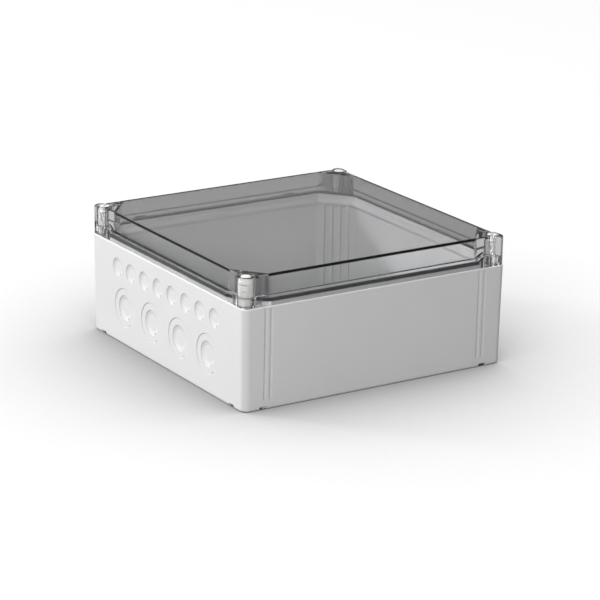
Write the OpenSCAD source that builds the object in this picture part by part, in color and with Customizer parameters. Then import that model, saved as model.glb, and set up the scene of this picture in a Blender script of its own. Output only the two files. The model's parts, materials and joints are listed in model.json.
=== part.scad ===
/* [Base] */
// Width of the enclosure at its rim
body_w = 300; // [240:1:400]
// Depth of the enclosure at its rim, from front wall to hinge wall
body_d = 300; // [240:1:400]
// Height of the base, up to the parting line
base_h = 102; // [90:1:150]
// Thickness of the base's side walls
wall_t = 3; // [2.6:0.1:4]
// Thickness of the base's floor
floor_t = 4; // [3:0.1:6]
// Radius of the vertical outer corners
corner_r = 7; // [4:0.1:8]
// How far each side wall leans in, from rim to floor
draft = 1.2; // [0.4:0.1:1.6]
// Radius of the rounded bottom edge
foot_r = 2.5; // [1:0.1:3.5]
// How much of the width a diagonal corner wall cuts off
cut_x = 29; // [28:0.1:36]
// How much of the depth a diagonal corner wall cuts off
cut_y = 35.2; // [34:0.1:42]
// Width of the thickened rim, from the outer face
rim_w = 8; // [7:0.1:10]
// Height of the thickened rim
rim_h = 5; // [3:0.1:8]
// Height of the slope under the thickened rim
rim_slope = 5; // [4:0.1:8]
// Size of the bevel on the rim's outer edge
rim_bevel = 0.8; // [0.4:0.1:1.4]

/* [Rim joint] */
// Height of the tongue on the base's rim
tongue_h = 4; // [3:0.1:6]
// Thickness of the tongue
tongue_t = 2; // [1.6:0.1:2.6]
// Thickness of the lid's skirt outside the tongue
skirt_t = 2; // [1.6:0.1:2.6]
// Gap between the skirt and the tongue
skirt_gap = 0.6; // [0.5:0.05:0.9]
// Height of the gasket above the tongue
gasket_h = 2.9; // [2:0.1:4]
// Width of the gasket
gasket_w = 3.8; // [3:0.1:4.2]
// Gap between the gasket and the lid's skirt
gasket_side = 0.1; // [0.05:0.05:0.3]
// Gap left between tongue and gasket
gasket_gap = 0.1; // [0.05:0.01:0.2]

/* [Lid] */
// Height of the parting gap between base and lid
parting_gap = 0.3; // [0.1:0.05:0.5]
// How far the lid's flange stands back from the base's outer face
rim_ledge = 0.6; // [0.4:0.1:1]
// Height of the lid's flange above the base
flange_h = 11; // [10:0.1:14]
// Height of the lid's hood above the flange
hood_h = 19; // [16:0.5:60]
// Distance from the outer face to the hood's wall
hood_inset = 4.5; // [3.5:0.1:6]
// Thickness of the hood's walls
hood_wall = 3; // [2.4:0.1:4]
// Thickness of the hood's top
hood_top = 3; // [2.4:0.1:5]
// How far each hood wall leans in, from flange to top
hood_draft = 0.6; // [0:0.1:1]
// Radius of the hood's top edge
hood_edge = 1.6; // [0.8:0.1:2.2]
// Radius of the hood's outer corners, inside the towers
hood_corner_r = 8; // [6:0.5:9]
// Radius of the upright edges of the seal line and of the hood's hollow
seal_r = 4; // [2:0.5:6]

/* [Cover screws] */
// Distance from a side wall's outer face to the axes of the cover screws
screw_in_x = 9; // [8.9:0.1:10]
// Distance from the front or hinge wall's outer face to the axes of the cover screws
screw_in_y = 12; // [9:0.1:13]
// Radius of the towers that hold the cover screws
tower_r = 8.4; // [8.2:0.1:8.9]
// Depth of a tower's top below the hood's top
tower_drop = 0.5; // [0.2:0.1:2]
// Radius of a tower's top edge
tower_edge = 1.4; // [0.6:0.1:1.5]
// Radius of a cover screw's head
head_r = 6.7; // [6:0.1:6.9]
// Depth of a head's top below the tower's top
head_sink = 0.3; // [0.2:0.1:1.5]
// Height of a head above its washer
head_h = 18.5; // [17.5:0.1:20]
// Radius of the crown on a head
crown_r = 4.6; // [4:0.1:5.2]
// Height of the crown
crown_h = 3.9; // [3:0.1:4.5]
// Size of the bevel around a head's shoulder
head_bevel = 1; // [0.4:0.1:1.4]
// Radius of a cover screw's neck
neck_r = 4.4; // [3.8:0.1:4.6]
// Radial running clearance of a cover screw in the lid
screw_fit = 0.1; // [0.05:0.01:0.1]
// Length of a cover screw's tip below the parting line
tip_len = 4.5; // [3:0.1:5]
// Radius of a tip at its lower end
tip_r = 2.2; // [1.5:0.1:2.4]
// Thickness of a tip's flat blade
blade_t = 4.4; // [3:0.1:5]
// Width of the driver slot
slot_w = 1.8; // [1:0.1:2.4]
// Depth of the driver slot
slot_depth = 2.6; // [1:0.1:4]
// Width of the windows in a head's sides
window_w = 5.4; // [4:0.1:6.5]
// Height of a window
window_h = 1.4; // [0.8:0.1:2]
// Distance from a head's shoulder down to its windows
window_drop = 1.7; // [1.2:0.1:2.5]
// Width of the latch hole below each window
latch_w = 3.2; // [2:0.1:4]
// Height of a latch hole
latch_h = 4.5; // [3:0.1:5]
// Gap between a window and its latch hole
latch_gap = 2; // [1:0.1:3]
// Depth of the window and of the latch hole
window_depth = 2.4; // [1.5:0.1:3]
// Height of the washer under a head
washer_h = 2; // [1.2:0.1:2.4]
// Thickness of the retaining clip below the lid
clip_t = 1; // [0.8:0.1:1.2]
// Radius of the retaining clip
clip_r = 5.9; // [5.2:0.1:6.1]
// Opening of the retaining clip
clip_mouth = 5; // [3:0.1:6]
// Room above and below the clip in its recess
clip_play = 0.3; // [0.2:0.05:0.5]
// Radial gap around the clip in its recess
clip_room = 0.4; // [0.3:0.05:0.6]
// Depth of the clip's groove in the neck
groove_depth = 0.6; // [0.4:0.1:0.8]
// Fit of the clip in its groove
groove_fit = 0.05; // [0.03:0.01:0.1]

/* [Corner channels] */
// Radius of the channel below each cover screw
channel_r = 5.2; // [4.5:0.1:5.6]
// Radius of the channel's mouth
mouth_r = 6.5; // [6.2:0.1:6.7]
// Depth of the channel's mouth
mouth_depth = 6; // [5.5:0.1:9]
// Wall of the tube around each channel
channel_wall = 2.4; // [2:0.1:3]
// Thickness of the seat under a wall-fixing screw
fixing_seat = 5; // [4:0.1:8]
// Radius of the wall-fixing holes
fixing_r = 2.9; // [2.1:0.1:3.2]

/* [Side walls] */
// Pitch of the large knockouts
knockout_pitch = 54.5; // [46:0.5:56]
// Number of large knockouts on each side wall
knockout_count = 4; // [1:1:4]
// Radius of the large knockouts
large_r = 20.25; // [16:0.05:21]
// Radius of the middle disc in each large knockout
middle_r = 12.75; // [8:0.05:14]
// Radius of the small knockouts
small_r = 9.4; // [6:0.05:10.25]
// Height of the large knockouts' centres
large_z = 39.7; // [30:0.1:44]
// Height of the small knockouts' centres
small_z = 79.3; // [74:0.1:82]
// Depth of each step of a knockout
knockout_depth = 0.5; // [0.3:0.05:0.7]
// Depth of the dish in a disc, below its step
dish_depth = 1.2; // [0.6:0.1:1.3]
// Width of the slope around a dish
dish_run = 4; // [2:0.1:6]
// Radius of the break-out notch at a disc's edge
notch_r = 1.1; // [0.6:0.1:1.4]
// Depth of a notch below the disc's step
notch_depth = 1; // [0.5:0.1:1.2]
// Angle of the notches below the level of the disc's centre
notch_turn = 60; // [30:1:90]
// Distance from an end of the front or hinge wall to its first groove
stripe_in = 24.6; // [18:0.1:30]
// Pitch of the two grooves at each end
stripe_pitch = 6.1; // [5:0.1:8]
// Width of a groove
stripe_w = 3; // [1.5:0.1:4]
// Depth of a groove
stripe_depth = 0.9; // [0.4:0.1:1.2]
// Height of a groove's lower end above the underside
stripe_z = 10; // [6:0.5:20]
// Gap between a groove's upper end and the parting line
stripe_gap = 1.5; // [1:0.1:4]
// Distance from a wall's end to the middle of its lug slot
lug_x = 23.5; // [20:0.5:24]
// Width of a lug slot
lug_w = 9; // [5:0.5:10]
// Height of a lug slot
lug_h = 3.2; // [2:0.1:3.4]

/* [Inside] */
// Spacing of the mounting-plate bosses across the width
boss_x = 210; // [160:1:215]
// Spacing of the mounting-plate bosses across the depth
boss_y = 210; // [160:1:215]
// Radius of a boss
boss_r = 5; // [4:0.1:7]
// Height of a boss above the floor
boss_h = 12; // [9:0.5:20]
// Radius of the threaded insert in a boss
insert_r = 2.8; // [2.5:0.1:3]
// Length of the insert
insert_h = 8; // [5:0.5:8.5]
// Radius of the insert's threaded bore
insert_bore = 1.65; // [1.2:0.05:2]
// Number of flutes on each inner corner wall
flute_count = 4; // [2:1:4]
// Pitch of the flutes
flute_pitch = 9; // [6:0.5:9.5]
// Width of a flute
flute_w = 3.4; // [2:0.1:4]
// How far a flute stands out
flute_out = 4; // [3:0.1:4.5]

/* [Hinges] */
// Distance of each hinge from the middle of the hinge wall
hinge_x = 90; // [50:1:95]
// Distance of the hinge axis behind the hinge wall
hinge_out = 7.5; // [7:0.1:8]
// Distance of the hinge axis below the parting line
hinge_drop = 10; // [9:0.1:11]
// Radius of the knuckles
knuckle_r = 4; // [3.4:0.1:4.2]
// Width of the lid's knuckle
knuckle_w = 12; // [8:0.5:12]
// How much thicker the knuckle's arm is than its radius
arm_extra = 0.5; // [0:0.1:1]
// Thickness of a bracket's ear
ear_t = 4; // [3:0.1:5]
// Side gap between knuckle and ear
ear_gap = 0.3; // [0.2:0.05:0.5]
// Radius of the hinge pins
pin_r = 2; // [1.5:0.1:2.2]
// Radial running clearance of the pins
pin_fit = 0.05; // [0.03:0.01:0.1]
// Radius of a pin's head
pin_head_r = 3; // [2.6:0.1:3.4]
// Thickness of a pin's head
pin_head_t = 1; // [0.6:0.1:1.5]
// Thickness of the pad that carries a bracket
pad_t = 2.5; // [2.2:0.1:3]
// Thickness of a bracket's plate
bracket_t = 2.2; // [1.8:0.1:2.4]
// Width of a bracket and its pad
bracket_w = 28; // [24:0.5:40]
// Height of a bracket's plate
bracket_h = 26; // [20:0.5:30]
// Distance from the hinge axis down to a bracket plate's top
bracket_drop = 5; // [4.6:0.1:8]
// Spacing of a bracket's two screws
bracket_pitch = 18; // [14:0.5:20]
// Distance from a bracket plate's lower end to its screws
bracket_edge = 8; // [5:0.5:10]
// Radius of the bracket screws' shanks
bolt_r = 1.45; // [1.2:0.05:1.6]
// Radial clearance of a bracket screw
bolt_fit = 0.05; // [0.03:0.01:0.1]
// Depth of a bracket screw in the pad
bolt_depth = 3.6; // [3:0.1:4]
// Room left in a hole behind the end of a bracket screw
bolt_end = 0.2; // [0.1:0.05:0.4]
// Radius of the bracket screws' heads
bolt_head_r = 2.8; // [2.4:0.1:3.2]
// Height of the bracket screws' heads
bolt_head_h = 2; // [1.4:0.1:2.4]

/* [Hidden] */
$fn = 64;

// Overrun of a cut past the face it opens
over = 1;
// Thickness of the slices that a lofted body is drawn between
slice = 0.01;
// Segments of a rounded edge on the seal outline and in a loft
edge_steps = 4;
hull_fn = 32;

lid_z = base_h + parting_gap;
hood_z = base_h + flange_h;
top_z = hood_z + hood_h;
tower_z = top_z - tower_drop;
tongue_in = skirt_t + skirt_gap;
gasket_in = skirt_t + gasket_side;
gasket_z = base_h + tongue_h + gasket_gap;
seat_z = gasket_z + gasket_h;
hood_hollow = hood_inset + hood_wall;
cut_len = norm([cut_x, cut_y]);
cut_depth = cut_x*cut_y/cut_len;
cut_turn = atan(cut_x/cut_y);
head_top = tower_z - head_sink;
head_z = head_top - head_h;
shoulder_z = head_top - crown_h;
window_z = shoulder_z - window_drop - window_h;
latch_z = window_z - latch_gap - latch_h;
washer_z = head_z - washer_h;
flange_r = corner_r - rim_ledge;
clip_z = lid_z + clip_play;
clip_groove_r = neck_r - groove_depth;
recess_z = clip_z + clip_t + clip_play;
ledge_z = base_h - rim_h;
cavity_z = ledge_z - rim_slope;
wall_lean = atan(draft/base_h);
hinge_y = body_d/2 + hinge_out;
hinge_z = base_h - hinge_drop;
plate_y = body_d/2 + pad_t;
bracket_z = hinge_z - bracket_drop - bracket_h;
bolt_z = bracket_z + bracket_edge;
ear_x = knuckle_w/2 + ear_gap;

// Corners as signs, from front left round to back left
CORNERS = [[-1, -1], [1, -1], [1, 1], [-1, 1]];

// How far the outer faces have leaned in at height z
function lean(z) = draft*(1 - z/base_h);

// Arc that rounds corner b of the path a, b, c
function fillet(a, b, c, r) =
    let (u = (a - b)/norm(a - b), v = (c - b)/norm(c - b),
         half = acos(u*v)/2,
         centre = b + (u + v)/norm(u + v)*r/sin(half),
         from = b + u*r/tan(half) - centre,
         to = b + v*r/tan(half) - centre,
         start = atan2(from[1], from[0]),
         turn = (atan2(to[1], to[0]) - start + 540) % 360 - 180)
    [for (i = [0:edge_steps]) centre + r*[cos(start + turn*i/edge_steps), sin(start + turn*i/edge_steps)]];

// Seal outline: the body's rectangle with its corners cut off, moved inwards
function seal_corners(inset) =
    let (a = body_w/2 - inset, b = body_d/2 - inset,
         u = body_w/2 - cut_x - inset*(cut_len - cut_x)/cut_y,
         v = body_d/2 - cut_y - inset*(cut_len - cut_y)/cut_x)
    [[a, v], [u, b], [-u, b], [-a, v], [-a, -v], [-u, -b], [u, -b], [a, -v]];

module seal_outline(inset) {
    p = seal_corners(inset);
    polygon([for (i = [0:7]) each fillet(p[(i + 7) % 8], p[i], p[(i + 1) % 8], seal_r)]);
}

// Triangle between two walls moved inwards and the diagonal of a corner, which is at the origin
module corner_triangle(inset) {
    polygon([[-inset, -inset], [-inset, -cut_y*(1 - inset/cut_x)], [-cut_x*(1 - inset/cut_y), -inset]]);
}

module seal_prism(inset, z0, z1) {
    translate([0, 0, z0]) linear_extrude(z1 - z0) seal_outline(inset);
}

module seal_ring(inset, width, z0, z1) {
    translate([0, 0, z0]) linear_extrude(z1 - z0) difference() {
        seal_outline(inset);
        seal_outline(inset + width);
    }
}

module rounded_rect(w, d, r) {
    square([w - 2*r, d], center = true);
    square([w, d - 2*r], center = true);
    for (c = CORNERS) translate([c[0]*(w/2 - r), c[1]*(d/2 - r)]) circle(r);
}

// Thin slice of the body's outline, moved inwards, for a loft
module body_slice(inset, z) {
    translate([0, 0, z]) linear_extrude(slice)
        rounded_rect(body_w - 2*inset, body_d - 2*inset, corner_r, $fn = hull_fn);
}

// Places its children at one corner, which they see as the corner at +X +Y
module at_corner(c) {
    translate([c[0]*body_w/2, c[1]*body_d/2, 0])
        mirror([c[0] < 0 ? 1 : 0, 0, 0]) mirror([0, c[1] < 0 ? 1 : 0, 0]) children();
}

// Places its children at the axis of a cover screw
module at_screw(c) {
    translate([c[0]*(body_w/2 - screw_in_x), c[1]*(body_d/2 - screw_in_y), 0]) children();
}

// Places its children on a wall: X runs to the right seen from outside, +Y goes inwards
module on_wall(side) {
    rotate([0, 0, 90*side]) translate([0, -(side % 2 == 0 ? body_d : body_w)/2, 0]) children();
}

function wall_len(side) = side % 2 == 0 ? body_w : body_d;

module tube(outer, inner, h) {
    difference() {
        cylinder(r = outer, h = h);
        translate([0, 0, -over]) cylinder(r = inner, h = h + 2*over);
    }
}

// ---- Base ----

module base_block() {
    hull() {
        for (i = [0:edge_steps]) {
            z = foot_r*(1 - cos(90*i/edge_steps));
            body_slice(lean(z) + foot_r*(1 - sin(90*i/edge_steps)), z);
        }
        body_slice(0, base_h - rim_bevel);
        body_slice(rim_bevel, base_h - slice);
    }
}

module base_cavity() {
    hull() {
        seal_prism(wall_t + lean(floor_t), floor_t, floor_t + slice);
        seal_prism(wall_t + lean(cavity_z), cavity_z, cavity_z + slice);
        seal_prism(rim_w, ledge_z, ledge_z + slice);
    }
    seal_prism(rim_w, ledge_z, base_h + over);
}

// Hollow under each corner, open below, around the channel's tube
module corner_core() {
    difference() {
        translate([0, 0, -over]) linear_extrude(cavity_z - wall_t + over)
            corner_triangle(wall_t + draft);
        translate([-screw_in_x, -screw_in_y, -over]) cylinder(r = channel_r + channel_wall, h = base_h);
    }
}

module corner_channel() {
    translate([0, 0, fixing_seat]) cylinder(r = channel_r, h = base_h);
    translate([0, 0, base_h - mouth_depth]) cylinder(r = mouth_r, h = base_h);
    translate([0, 0, -over]) cylinder(r = fixing_r, h = base_h);
}

module corner_flutes() {
    face = cut_depth + wall_t;
    middle = (cut_x*sin(cut_turn) - cut_y*cos(cut_turn))/2;
    for (i = [0:flute_count - 1])
        rotate([0, 0, cut_turn])
            translate([-face - flute_out, middle + (i - (flute_count - 1)/2)*flute_pitch - flute_w/2, over])
                cube([flute_out + over, flute_w, cavity_z + rim_slope/2 - over]);
}

// Upright grooves near both ends of a wall, which lean in with it
module wall_grooves(side) {
    for (s = [-1, 1], i = [0, 1])
        translate([s*(wall_len(side)/2 - stripe_in - i*stripe_pitch) - stripe_w/2, 0, base_h])
            rotate([wall_lean, 0, 0]) translate([0, -over, stripe_z - base_h])
                cube([stripe_w, over + stripe_depth, base_h - stripe_z - stripe_gap]);
}

// Slots at the underside, through to the hollows under the corners
module lug_slots(side) {
    for (x = [-1, 1])
        translate([x*(wall_len(side)/2 - lug_x) - lug_w/2, -over, -over])
            cube([lug_w, over + draft + wall_t + over, lug_h + over]);
}

// Round recess in a wall, its floor at the given depth below the leaning face
module wall_recess(x, z, r, depth) {
    translate([x, -over, z]) rotate([-90, 0, 0]) cylinder(r = r, h = over + lean(z) + depth);
}

// Stepped disc with a dish in it and a break-out notch at its lower edge
module knockout_disc(x, z, r, depth) {
    wall_recess(x, z, r, depth);
    translate([x, lean(z) + depth, z]) rotate([-90, 0, 0])
        cylinder(r1 = r, r2 = r - dish_run, h = dish_depth);
    break_notch(x, z, r, depth);
}

module break_notch(x, z, r, depth) {
    reach = r - notch_r;
    wall_recess(x + reach*cos(notch_turn), z - reach*sin(notch_turn), notch_r, depth + notch_depth);
}

module knockouts() {
    first = -(knockout_count - 1)/2*knockout_pitch;
    for (i = [0:knockout_count - 1]) {
        x = first + i*knockout_pitch;
        wall_recess(x, large_z, large_r, knockout_depth);
        break_notch(x, large_z, large_r, knockout_depth);
        knockout_disc(x, large_z, middle_r, 2*knockout_depth);
        for (s = [-1, 1]) knockout_disc(x + s*knockout_pitch/4, small_z, small_r, knockout_depth);
    }
}

module plate_boss() {
    translate([0, 0, floor_t - over]) difference() {
        cylinder(r = boss_r, h = boss_h + over);
        translate([0, 0, boss_h + over - insert_h]) cylinder(r = insert_r, h = insert_h + over);
    }
}

module hinge_pad() {
    translate([-bracket_w/2, body_d/2 - wall_t/2, bracket_z])
        cube([bracket_w, wall_t/2 + pad_t, bracket_h]);
}

module bolt_holes(y, r) {
    for (x = [-1, 1]) translate([x*bracket_pitch/2, y, bolt_z])
        rotate([-90, 0, 0]) cylinder(r = r, h = bolt_depth + bracket_t + over);
}

module at_bosses() {
    for (c = CORNERS) translate([c[0]*boss_x/2, c[1]*boss_y/2, 0]) children();
}

module at_hinge(s) {
    translate([s*hinge_x, 0, 0]) children();
}

module enclosure_base() {
    color("gainsboro") {
        difference() {
            union() {
                base_block();
                seal_ring(tongue_in, tongue_t, base_h - over, base_h + tongue_h);
                for (s = [-1, 1]) at_hinge(s) hinge_pad();
            }
            difference() {
                base_cavity();
                for (c = CORNERS) at_corner(c) corner_flutes();
                at_bosses() plate_boss();
            }
            for (c = CORNERS) at_corner(c) corner_core();
            for (c = CORNERS) at_screw(c) corner_channel();
            for (side = [0:3]) on_wall(side) lug_slots(side);
            for (side = [0, 2]) on_wall(side) wall_grooves(side);
            for (side = [1, 3]) on_wall(side) knockouts();
            for (s = [-1, 1]) at_hinge(s) bolt_holes(plate_y - bolt_depth - bolt_end, bolt_r + bolt_fit);
        }
    }
}

// ---- Lid ----

module hood_slice(inset, z) {
    translate([0, 0, z - slice]) linear_extrude(slice)
        rounded_rect(body_w - 2*inset, body_d - 2*inset, hood_corner_r, $fn = hull_fn);
}

module hood() {
    hull() {
        hood_slice(hood_inset, base_h + flange_h/2);
        for (i = [0:edge_steps])
            hood_slice(hood_inset + hood_draft + hood_edge*(1 - sin(90*i/edge_steps)),
                       top_z - hood_edge*(1 - cos(90*i/edge_steps)));
    }
}

module hood_cavity() {
    hull() {
        seal_prism(hood_hollow, base_h - over, base_h);
        seal_prism(hood_hollow + hood_draft, top_z - hood_top - slice, top_z - hood_top);
    }
}

module flange_outline() {
    rounded_rect(body_w - 2*rim_ledge, body_d - 2*rim_ledge, flange_r);
}

// Thin slice of a tower: a disc around the screw, drawn out to the flange's corner
module tower_slice(inset, z) {
    to_corner = rim_ledge + flange_r;
    translate([0, 0, z - slice]) {
        translate([-screw_in_x, -screw_in_y]) cylinder(r = tower_r - inset, h = slice, $fn = hull_fn);
        translate([-to_corner, -to_corner]) cylinder(r = flange_r - inset, h = slice, $fn = hull_fn);
    }
}

module screw_tower() {
    hull() {
        tower_slice(0, hood_z - over);
        for (i = [0:edge_steps])
            tower_slice(tower_edge*(1 - sin(90*i/edge_steps)),
                        tower_z - tower_edge*(1 - cos(90*i/edge_steps)));
    }
}

// Pockets, open below, that keep a tower's joints to the hood thin
module corner_pockets() {
    translate([0, 0, base_h - over]) linear_extrude(top_z - hood_top - base_h + over) difference() {
        corner_triangle(hood_hollow);
        translate([-screw_in_x, -screw_in_y]) circle(tower_r);
    }
}

module tower_bores() {
    translate([0, 0, washer_z]) cylinder(r = head_r + screw_fit, h = top_z);
    translate([0, 0, base_h - over]) cylinder(r = neck_r + screw_fit, h = tower_z - base_h);
    translate([0, 0, base_h - over]) cylinder(r = clip_r + clip_room, h = over + recess_z - base_h);
}

// Knuckle moulded on the lid's skirt, which reaches down to the hinge pin
module lid_knuckle() {
    arm_t = knuckle_r + arm_extra;
    translate([-knuckle_w/2, hinge_y, hinge_z]) rotate([0, 90, 0]) cylinder(r = knuckle_r, h = knuckle_w);
    translate([-knuckle_w/2, hinge_y + knuckle_r - arm_t, hinge_z])
        cube([knuckle_w, arm_t, hinge_drop + arm_t]);
    translate([-knuckle_w/2, body_d/2 - skirt_t/2, lid_z])
        cube([knuckle_w, hinge_out + knuckle_r + skirt_t/2, base_h + arm_t - lid_z]);
}

module pin_bore(r) {
    translate([-bracket_w, hinge_y, hinge_z]) rotate([0, 90, 0]) cylinder(r = r, h = 2*bracket_w);
}

module transparent_lid() {
    color([0.55, 0.55, 0.56, 0.45]) difference() {
        union() {
            translate([0, 0, lid_z]) linear_extrude(hood_z - lid_z) flange_outline();
            hood();
            for (c = CORNERS) at_corner(c) screw_tower();
            for (s = [-1, 1]) at_hinge(s) lid_knuckle();
        }
        hood_cavity();
        seal_prism(skirt_t, base_h - over, seat_z);
        for (c = CORNERS) at_corner(c) corner_pockets();
        for (c = CORNERS) at_screw(c) tower_bores();
        for (s = [-1, 1]) at_hinge(s) pin_bore(pin_r + pin_fit);
    }
}

module lid_gasket() {
    color("black") seal_ring(gasket_in, gasket_w, gasket_z, seat_z);
}

// ---- Cover screws ----

module cover_screw(c) {
    edge_z = shoulder_z - head_bevel;
    color("whitesmoke") at_screw(c) rotate([0, 0, atan2(c[1], c[0])]) difference() {
        union() {
            translate([0, 0, head_z]) cylinder(r = head_r, h = edge_z - head_z);
            translate([0, 0, edge_z]) cylinder(r1 = head_r, r2 = head_r - head_bevel, h = head_bevel);
            translate([0, 0, edge_z]) cylinder(r = crown_r, h = head_top - edge_z);
            translate([0, 0, base_h]) cylinder(r = neck_r, h = head_z - base_h);
            intersection() {
                translate([0, 0, base_h - tip_len]) cylinder(r1 = tip_r, r2 = neck_r, h = tip_len);
                translate([-blade_t/2, -neck_r, base_h - tip_len]) cube([blade_t, 2*neck_r, tip_len]);
            }
        }
        translate([0, 0, clip_z - groove_fit]) tube(neck_r + over, clip_groove_r, clip_t + 2*groove_fit);
        translate([-slot_w/2, -crown_r - over, head_top - slot_depth])
            cube([slot_w, 2*(crown_r + over), slot_depth + over]);
        for (a = [0:90:270]) rotate([0, 0, a]) head_windows();
    }
}

// Window and latch hole in the side of a head
module head_windows() {
    translate([-window_w/2, -head_r - over, window_z]) cube([window_w, window_depth + over, window_h]);
    translate([-latch_w/2, -head_r - over, latch_z]) cube([latch_w, window_depth + over, latch_h]);
}

module screw_washer(c) {
    color("dimgray") at_screw(c) translate([0, 0, washer_z]) tube(head_r, neck_r + screw_fit, washer_h);
}

module screw_clip(c) {
    color("silver") at_screw(c) translate([0, 0, clip_z]) difference() {
        tube(clip_r, clip_groove_r + groove_fit, clip_t);
        translate([0, -clip_mouth/2, -over]) cube([clip_r + over, clip_mouth, clip_t + 2*over]);
    }
}

// ---- Hinges ----

module hinge_bracket(s) {
    color("gainsboro") at_hinge(s) difference() {
        union() {
            translate([-bracket_w/2, plate_y, bracket_z]) cube([bracket_w, bracket_t, bracket_h]);
            for (x = [-ear_x - ear_t, ear_x]) bracket_ear(x);
        }
        pin_bore(pin_r + pin_fit);
        bolt_holes(plate_y - over, bolt_r + 2*bolt_fit);
    }
}

module bracket_ear(x) {
    translate([x, hinge_y, hinge_z]) rotate([0, 90, 0]) cylinder(r = knuckle_r, h = ear_t);
    translate([x, plate_y, hinge_z - 2*bracket_drop])
        cube([ear_t, hinge_y + knuckle_r - plate_y, 2*bracket_drop]);
}

module hinge_pin(s) {
    end = ear_x + ear_t;
    color("silver") at_hinge(s) translate([0, hinge_y, hinge_z]) rotate([0, 90, 0]) {
        translate([0, 0, -end]) cylinder(r = pin_r, h = 2*end);
        translate([0, 0, end]) cylinder(r = pin_head_r, h = pin_head_t);
    }
}

module bracket_screws() {
    color("silver") for (s = [-1, 1], x = [-1, 1])
        at_hinge(s) translate([x*bracket_pitch/2, plate_y + bracket_t, bolt_z]) rotate([-90, 0, 0])
            bracket_screw();
}

module bracket_screw() {
    difference() {
        union() {
            cylinder(r = bolt_head_r, h = bolt_head_h);
            translate([0, 0, -bracket_t - bolt_depth]) cylinder(r = bolt_r, h = bracket_t + bolt_depth);
        }
        translate([0, 0, bolt_head_h/2]) cylinder(r = bolt_r, h = bolt_head_h, $fn = 6);
    }
}

module plate_inserts() {
    color("goldenrod") at_bosses() translate([0, 0, floor_t + boss_h - insert_h])
        tube(insert_r, insert_bore, insert_h);
}

enclosure_base();
transparent_lid();
lid_gasket();
cover_screw(CORNERS[0]);  // cover_screw_1
cover_screw(CORNERS[1]);  // cover_screw_2
cover_screw(CORNERS[2]);  // cover_screw_3
cover_screw(CORNERS[3]);  // cover_screw_4
screw_washer(CORNERS[0]);  // screw_washer_1
screw_washer(CORNERS[1]);  // screw_washer_2
screw_washer(CORNERS[2]);  // screw_washer_3
screw_washer(CORNERS[3]);  // screw_washer_4
screw_clip(CORNERS[0]);  // screw_clip_1
screw_clip(CORNERS[1]);  // screw_clip_2
screw_clip(CORNERS[2]);  // screw_clip_3
screw_clip(CORNERS[3]);  // screw_clip_4
hinge_bracket(-1);  // hinge_bracket_1
hinge_bracket(1);  // hinge_bracket_2
hinge_pin(-1);  // hinge_pin_1
hinge_pin(1);  // hinge_pin_2
bracket_screws();
plate_inserts();
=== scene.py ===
"""Hinged polycarbonate enclosure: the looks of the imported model, in metres.

Every piece is a CAD solid. This script adds materials, floor, lamps and camera.
"""
import json
import math

import bpy
from mathutils import Matrix, Vector


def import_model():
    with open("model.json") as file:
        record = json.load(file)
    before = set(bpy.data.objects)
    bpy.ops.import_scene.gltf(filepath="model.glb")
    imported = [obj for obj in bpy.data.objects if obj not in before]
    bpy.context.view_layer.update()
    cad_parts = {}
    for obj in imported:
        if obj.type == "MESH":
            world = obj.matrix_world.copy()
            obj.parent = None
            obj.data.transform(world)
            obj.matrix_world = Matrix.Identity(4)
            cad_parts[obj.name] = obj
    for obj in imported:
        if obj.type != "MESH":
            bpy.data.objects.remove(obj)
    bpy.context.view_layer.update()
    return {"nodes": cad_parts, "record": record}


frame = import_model()

# ---------------------------------------------------------------- helpers


def new_material(name):
    """An empty node material and its tree."""
    mat = bpy.data.materials.new(name)
    mat.use_nodes = True
    mat.node_tree.nodes.clear()
    return mat, mat.node_tree


def add(tree, kind, **inputs):
    """A node with its inputs set, an underscore standing for a space."""
    node = tree.nodes.new(kind)
    for key, value in inputs.items():
        node.inputs[key.replace("_", " ")].default_value = value
    return node


def shade(tree, **inputs):
    """A Principled shader wired to the output."""
    out = tree.nodes.new("ShaderNodeOutputMaterial")
    shader = add(tree, "ShaderNodeBsdfPrincipled", **inputs)
    tree.links.new(shader.outputs[0], out.inputs["Surface"])
    return shader


def noise(tree, scale, detail=2.0, roughness=0.5):
    """Noise fixed to the piece, so that it moves with it."""
    coords = tree.nodes.new("ShaderNodeTexCoord")
    tex = add(tree, "ShaderNodeTexNoise", Scale=scale, Detail=detail, Roughness=roughness)
    tree.links.new(coords.outputs["Object"], tex.inputs["Vector"])
    return tex


def ramp(tree, source, *stops):
    """A colour between two stops, each a place and a colour."""
    node = tree.nodes.new("ShaderNodeValToRGB")
    for element, (at, colour) in zip(node.color_ramp.elements, stops):
        element.position = at
        element.color = (*colour, 1.0)
    tree.links.new(source, node.inputs["Fac"])
    return node.outputs["Color"]


def span(tree, source, low, high):
    """Spreads a value from 0 to 1 between two others."""
    node = tree.nodes.new("ShaderNodeMapRange")
    node.inputs["To Min"].default_value = low
    node.inputs["To Max"].default_value = high
    tree.links.new(source, node.inputs["Value"])
    return node.outputs["Result"]


def rounded(tree, radius):
    """Normals of edges rounded by a small radius."""
    bevel = add(tree, "ShaderNodeBevel", Radius=radius)
    bevel.samples = 8
    return bevel.outputs["Normal"]


def bumped(tree, height, strength, distance):
    bump = add(tree, "ShaderNodeBump", Strength=strength, Distance=distance)
    tree.links.new(height, bump.inputs["Height"])
    return bump


def dress(node, mat):
    """Gives a CAD node one material."""
    materials = frame["nodes"][node].data.materials
    materials.clear()
    materials.append(mat)


# -------------------------------------------------------------- materials


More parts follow.
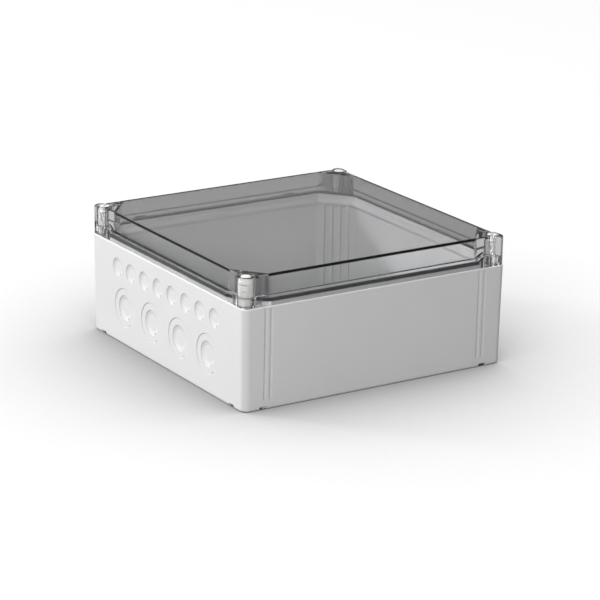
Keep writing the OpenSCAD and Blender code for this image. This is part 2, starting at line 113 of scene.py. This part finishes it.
def base_plastic():
    """Light grey, with the fine grain of a spark-eroded mould."""
    mat, tree = new_material("base_plastic")
    shader = shade(tree, Specular_IOR_Level=0.45)
    cloud = noise(tree, 14.0, detail=3.0, roughness=0.55).outputs["Fac"]
    tone = ramp(tree, cloud, (0.3, (0.612, 0.616, 0.614)), (0.7, (0.630, 0.634, 0.632)))
    gloss = span(tree, noise(tree, 60.0).outputs["Fac"], 0.54, 0.60)
    grain = noise(tree, 2600.0, detail=1.0, roughness=0.6).outputs["Fac"]
    fine = bumped(tree, grain, 0.25, 0.00006)
    tree.links.new(rounded(tree, 0.0007), fine.inputs["Normal"])
    tree.links.new(tone, shader.inputs["Base Color"])
    tree.links.new(gloss, shader.inputs["Roughness"])
    tree.links.new(fine.outputs["Normal"], shader.inputs["Normal"])
    return mat


def clear_plastic():
    """Smoked and clear, and open to the lamps that light the inside."""
    mat, tree = new_material("clear_plastic")
    out = tree.nodes.new("ShaderNodeOutputMaterial")
    glass = add(
        tree,
        "ShaderNodeBsdfPrincipled",
        Base_Color=(0.52, 0.52, 0.525, 1.0),
        Roughness=0.02,
        IOR=1.5,
        Specular_IOR_Level=0.3,
        Transmission_Weight=1.0,
    )
    lamp_way = add(tree, "ShaderNodeBsdfTransparent", Color=(0.94, 0.94, 0.945, 1.0))
    path = tree.nodes.new("ShaderNodeLightPath")
    mix = tree.nodes.new("ShaderNodeMixShader")
    tree.links.new(path.outputs["Is Shadow Ray"], mix.inputs["Fac"])
    tree.links.new(glass.outputs[0], mix.inputs[1])
    tree.links.new(lamp_way.outputs[0], mix.inputs[2])
    tree.links.new(mix.outputs[0], out.inputs["Surface"])
    tree.links.new(rounded(tree, 0.0006), glass.inputs["Normal"])
    return mat


def rubber(name, colour):
    """Dull, with small cells and paler specks."""
    mat, tree = new_material(name)
    shader = shade(tree, Roughness=0.85, Specular_IOR_Level=0.15)
    cells = noise(tree, 900.0).outputs["Fac"]
    tone = ramp(tree, cells, (0.2, colour), (0.8, tuple(1.5 * c for c in colour)))
    tree.links.new(tone, shader.inputs["Base Color"])
    pitted = bumped(tree, cells, 0.4, 0.0001)
    tree.links.new(pitted.outputs["Normal"], shader.inputs["Normal"])
    return mat


def clouded(name, edge, scale, dark, light, **inputs):
    """A hard piece with rounded edges, whose tone drifts from dark to light."""
    mat, tree = new_material(name)
    shader = shade(tree, **inputs)
    cloud = noise(tree, scale, detail=3.0).outputs["Fac"]
    tone = ramp(tree, cloud, (0.3, dark), (0.7, light))
    tree.links.new(tone, shader.inputs["Base Color"])
    tree.links.new(rounded(tree, edge), shader.inputs["Normal"])
    return mat


def screw_plastic():
    dark, light = (0.82, 0.81, 0.78), (0.88, 0.87, 0.84)
    return clouded("screw_plastic", 0.0004, 220.0, dark, light, Roughness=0.4)


def metal(name, dark, light, roughness):
    return clouded(name, 0.0003, 300.0, dark, light, Metallic=1.0, Roughness=roughness)


SLOTS = {
    "base_plastic": base_plastic(),
    "clear_plastic": clear_plastic(),
    "seal_rubber": rubber("seal_rubber", (0.012, 0.012, 0.013)),
    "washer_rubber": rubber("washer_rubber", (0.30, 0.30, 0.30)),
    "screw_plastic": screw_plastic(),
    "steel": metal("steel", (0.50, 0.50, 0.51), (0.62, 0.62, 0.63), 0.32),
    "brass": metal("brass", (0.60, 0.42, 0.17), (0.72, 0.54, 0.26), 0.30),
}
for part in frame["record"]["subparts"]:
    dress(part["node"], SLOTS[part["material_slot"]])

# ------------------------------------------------------------------ stage

STUDIO_GREY = (0.47, 0.47, 0.47)  # light that the surroundings cast on the part
STUDIO_SHINE = (0.20, 0.20, 0.20)  # what glossy pieces mirror of them
FLOOR_CAST = (0.32, 0.32, 0.32)  # colour of the floor for light that it casts back
FLOOR_LIT = 0.15  # share of the seen floor that takes real light; the rest glows
# Reach and depth of the painted shadow: ambient occlusion, raised by a gamma, darkens the
# floor's glow near the part.
FLOOR_PAINTED_SHADOW_REACH = 0.34
FLOOR_PAINTED_SHADOW_DEPTH = 1.7
FLOOR_HALF = 3.0
LIT_POINT = (0.0, 0.0, 0.06)


def seen(tree):
    """1 for a ray from the camera, straight or through the clear lid."""
    path = tree.nodes.new("ShaderNodeLightPath")
    either = tree.nodes.new("ShaderNodeMath")
    either.operation = "MAXIMUM"
    tree.links.new(path.outputs["Is Camera Ray"], either.inputs[0])
    tree.links.new(path.outputs["Is Transmission Ray"], either.inputs[1])
    return either.outputs[0]


def blend(tree, factor, colour):
    """A mix node whose second colour comes in with the factor."""
    mix = tree.nodes.new("ShaderNodeMix")
    mix.data_type = "RGBA"
    mix.inputs["B"].default_value = (*colour, 1.0)
    tree.links.new(factor, mix.inputs["Factor"])
    return mix


def world():
    """White where it is seen, greys where it lights the part or shines on it."""
    studio = bpy.data.worlds.new("studio")
    bpy.context.scene.world = studio
    studio.use_nodes = True
    tree = studio.node_tree
    tree.nodes.clear()
    path = tree.nodes.new("ShaderNodeLightPath")
    cast = blend(tree, path.outputs["Is Glossy Ray"], STUDIO_SHINE)
    cast.inputs["A"].default_value = (*STUDIO_GREY, 1.0)
    shown = blend(tree, seen(tree), (1.0, 1.0, 1.0))
    tree.links.new(cast.outputs["Result"], shown.inputs["A"])
    back = tree.nodes.new("ShaderNodeBackground")
    tree.links.new(shown.outputs["Result"], back.inputs["Color"])
    out = tree.nodes.new("ShaderNodeOutputWorld")
    tree.links.new(back.outputs[0], out.inputs["Surface"])


def floor_material():
    """White where it is seen, but for a painted soft shadow round the part: ambient
    occlusion darkens the white glow, and only a small share of the floor takes real light
    and shadow.
    """
    mat, tree = new_material("floor")
    lit = add(tree, "ShaderNodeBsdfDiffuse", Color=(FLOOR_LIT, FLOOR_LIT, FLOOR_LIT, 1.0))
    # Painted shadow: ambient occlusion round the part, deepened by a gamma, sets how
    # bright the floor glows.
    painted_shadow = add(tree, "ShaderNodeAmbientOcclusion", Distance=FLOOR_PAINTED_SHADOW_REACH)
    painted_shadow.samples = 16
    painted_shadow_deepened = add(tree, "ShaderNodeGamma", Gamma=FLOOR_PAINTED_SHADOW_DEPTH)
    glow_with_painted_shadow = add(tree, "ShaderNodeEmission", Strength=1.0 - FLOOR_LIT)
    tree.links.new(painted_shadow.outputs["Color"], painted_shadow_deepened.inputs["Color"])
    tree.links.new(painted_shadow_deepened.outputs["Color"], glow_with_painted_shadow.inputs["Color"])
    shown = tree.nodes.new("ShaderNodeAddShader")
    tree.links.new(lit.outputs[0], shown.inputs[0])
    tree.links.new(glow_with_painted_shadow.outputs[0], shown.inputs[1])
    cast = add(tree, "ShaderNodeBsdfDiffuse", Color=(*FLOOR_CAST, 1.0))
    pick = tree.nodes.new("ShaderNodeMixShader")
    tree.links.new(seen(tree), pick.inputs["Fac"])
    tree.links.new(cast.outputs[0], pick.inputs[1])
    tree.links.new(shown.outputs[0], pick.inputs[2])
    out = tree.nodes.new("ShaderNodeOutputMaterial")
    tree.links.new(pick.outputs[0], out.inputs["Surface"])
    return mat


def floor():
    mesh = bpy.data.meshes.new("floor")
    signs = ((-1, -1), (1, -1), (1, 1), (-1, 1))
    corners = [(x * FLOOR_HALF, y * FLOOR_HALF, 0.0) for x, y in signs]
    mesh.from_pydata(corners, [], [(0, 1, 2, 3)])
    mesh.materials.append(floor_material())
    obj = bpy.data.objects.new("floor", mesh)
    bpy.context.scene.collection.objects.link(obj)


def lamp(name, at, size, watts):
    """A round soft box that points at the part."""
    data = bpy.data.lights.new(name, "AREA")
    data.shape = "DISK"
    data.size = size
    data.energy = watts
    obj = bpy.data.objects.new(name, data)
    obj.location = at
    ahead = Vector(LIT_POINT) - Vector(at)
    obj.rotation_euler = ahead.to_track_quat("-Z", "Y").to_euler()
    bpy.context.scene.collection.objects.link(obj)


CAMERA_AZIMUTH, CAMERA_DROP, CAMERA_ROLL = -32.415, 17.676, 0.873  # degrees
CAMERA_AWAY = 2.68584  # from the frame's origin, along the view
CAMERA_RIGHT, CAMERA_UP = 0.006276, 0.045220
CAMERA_LENS, CAMERA_SENSOR = 159.505, 36.0  # mm


def camera():
    """The photograph's camera, fitted to the part's straight edges."""
    azimuth, drop, roll = map(math.radians, (CAMERA_AZIMUTH, CAMERA_DROP, CAMERA_ROLL))
    ahead = Vector(
        (
            -math.sin(azimuth) * math.cos(drop),
            math.cos(azimuth) * math.cos(drop),
            -math.sin(drop),
        )
    )
    level = ahead.cross(Vector((0, 0, 1))).normalized()
    top = level.cross(ahead)
    side = level * math.cos(roll) + top * math.sin(roll)
    top = top * math.cos(roll) - level * math.sin(roll)
    place = Matrix((side, top, -ahead)).transposed().to_4x4()
    place.translation = -ahead * CAMERA_AWAY + side * CAMERA_RIGHT + top * CAMERA_UP
    data = bpy.data.cameras.new("camera")
    data.lens = CAMERA_LENS
    data.sensor_width = CAMERA_SENSOR
    data.clip_start = 0.05
    obj = bpy.data.objects.new("camera", data)
    obj.matrix_world = place
    bpy.context.scene.collection.objects.link(obj)
    bpy.context.scene.camera = obj


world()
floor()
lamp("key", (-1.8, 2.0, 1.3), size=0.6, watts=70.0)
lamp("top", (0.0, 0.1, 2.6), size=1.2, watts=24.0)
lamp("fill", (-2.1, -1.9, 0.9), size=0.6, watts=40.0)
camera()
bpy.context.scene.view_settings.view_transform = "Standard"
